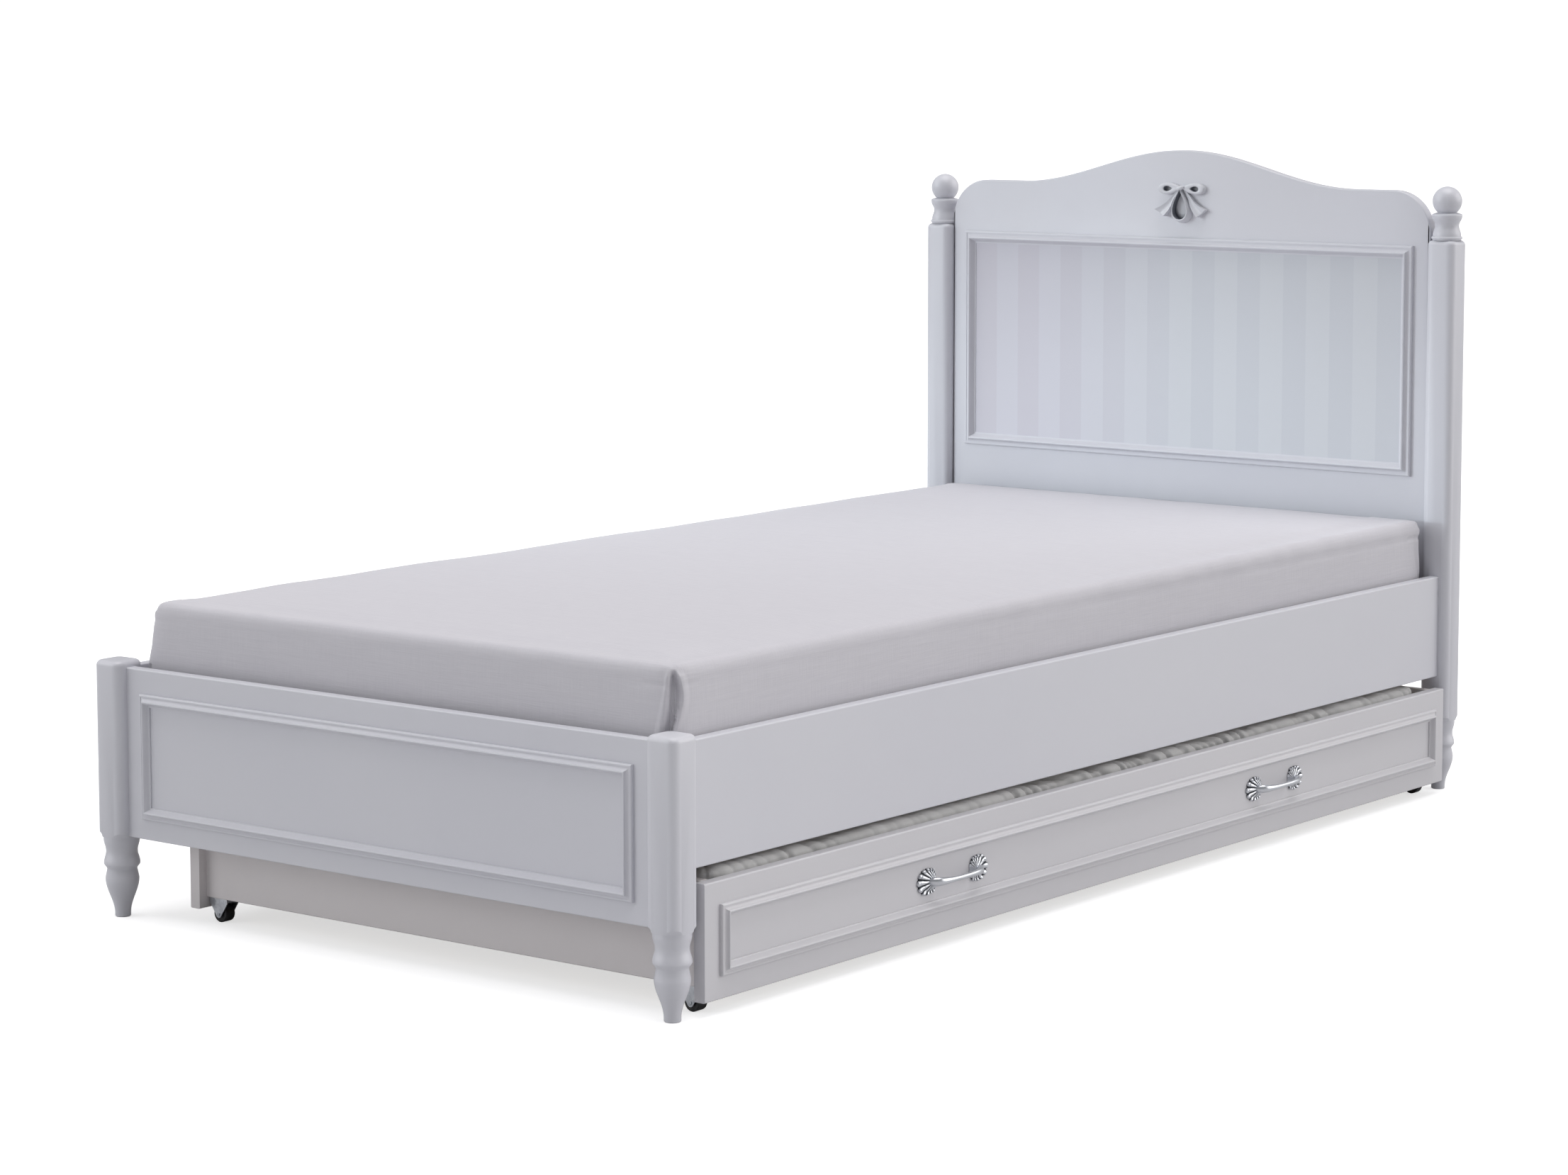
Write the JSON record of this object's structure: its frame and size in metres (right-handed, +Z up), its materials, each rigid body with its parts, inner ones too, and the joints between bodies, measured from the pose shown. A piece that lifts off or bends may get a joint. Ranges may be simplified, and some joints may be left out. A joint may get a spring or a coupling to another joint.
{
  "type": "trundle bed",
  "caption": "Single bed with an arched headboard and turned posts over a wheeled trundle bed that rolls out sideways.",
  "frame": {"origin": "centre of the bounding box on the floor", "axes": "+X towards the side the trundle rolls out of, +Y towards the head end, +Z up"},
  "size_m": [1.105, 2.08, 1.067],
  "materials": {
    "white_paint": "satin white lacquer on wood",
    "striped_paint": "two tones of pale grey-white in upright stripes, satin",
    "white_resin": "satin painted cast resin",
    "bare_wood": "planed pine",
    "zinc_steel": "zinc plated",
    "antique_silver": "cast metal, antique silver with dark recesses",
    "black_nylon": "moulded nylon, satin",
    "fitted_sheet": "white linen-weave fitted cover",
    "quilted_cover": "pale cotton cover, loosely gathered"
  },
  "bodies": {
    "bed_frame": {"head_post_left": "white_paint", "head_post_right": "white_paint", "head_finial_left": "white_paint", "head_finial_right": "white_paint", "foot_post_left": "white_paint", "foot_post_right": "white_paint", "headboard_panel": "white_paint", "striped_panel": "striped_paint", "bow_ornament": "white_resin", "head_moulding_top": "white_paint", "head_moulding_bottom": "white_paint", "head_moulding_left": "white_paint", "head_moulding_right": "white_paint", "footboard_panel": "white_paint", "foot_moulding_top": "white_paint", "foot_moulding_bottom": "white_paint", "foot_moulding_left": "white_paint", "foot_moulding_right": "white_paint", "side_rail_left": "white_paint", "side_rail_right": "white_paint", "slat_ledger_left": "bare_wood", "slat_ledger_right": "bare_wood", "bed_slats": "bare_wood", "panel_dowels": "bare_wood", "rail_bolts": "zinc_steel", "barrel_nuts": "zinc_steel", "ledger_screws": "zinc_steel", "slat_screws": "zinc_steel", "mattress": "fitted_sheet"},
    "trundle": {"trundle_front": "white_paint", "trundle_back": "white_paint", "trundle_end_foot": "white_paint", "trundle_end_head": "white_paint", "trundle_base": "bare_wood", "trundle_moulding_top": "white_paint", "trundle_moulding_bottom": "white_paint", "trundle_moulding_left": "white_paint", "trundle_moulding_right": "white_paint", "pull_foot": "antique_silver", "pull_head": "antique_silver", "pull_screws": "zinc_steel", "corner_screws": "zinc_steel", "corner_brackets": "zinc_steel", "caster_forks": "zinc_steel", "caster_axles": "zinc_steel", "caster_screws": "zinc_steel", "trundle_mattress": "quilted_cover"},
    "wheel_front_foot": {"wheel_front_foot": "black_nylon"},
    "wheel_front_head": {"wheel_front_head": "black_nylon"},
    "wheel_back_foot": {"wheel_back_foot": "black_nylon"},
    "wheel_back_head": {"wheel_back_head": "black_nylon"}
  },
  "joints": [
    {"name": "trundle_slide", "type": "slide", "parent": "bed_frame", "child": "trundle", "axis": [1, 0, 0], "range_m": [0, 0.96]},
    {"name": "roll_front_foot", "type": "hinge", "parent": "trundle", "child": "wheel_front_foot", "pos_m": [0.49, -0.951, 0.0125], "axis": [0, 1, 0], "continuous": true},
    {"name": "roll_front_head", "type": "hinge", "parent": "trundle", "child": "wheel_front_head", "pos_m": [0.49, 0.951, 0.0125], "axis": [0, 1, 0], "continuous": true},
    {"name": "roll_back_foot", "type": "hinge", "parent": "trundle", "child": "wheel_back_foot", "pos_m": [-0.383, -0.951, 0.0125], "axis": [0, 1, 0], "continuous": true},
    {"name": "roll_back_head", "type": "hinge", "parent": "trundle", "child": "wheel_back_head", "pos_m": [-0.383, 0.951, 0.0125], "axis": [0, 1, 0], "continuous": true}
  ],
  "couplings": [
    {"joint": "roll_front_foot", "follows": "trundle_slide", "rad_per_m": 80},
    {"joint": "roll_front_head", "follows": "trundle_slide", "rad_per_m": 80},
    {"joint": "roll_back_foot", "follows": "trundle_slide", "rad_per_m": 80},
    {"joint": "roll_back_head", "follows": "trundle_slide", "rad_per_m": 80}
  ]
}
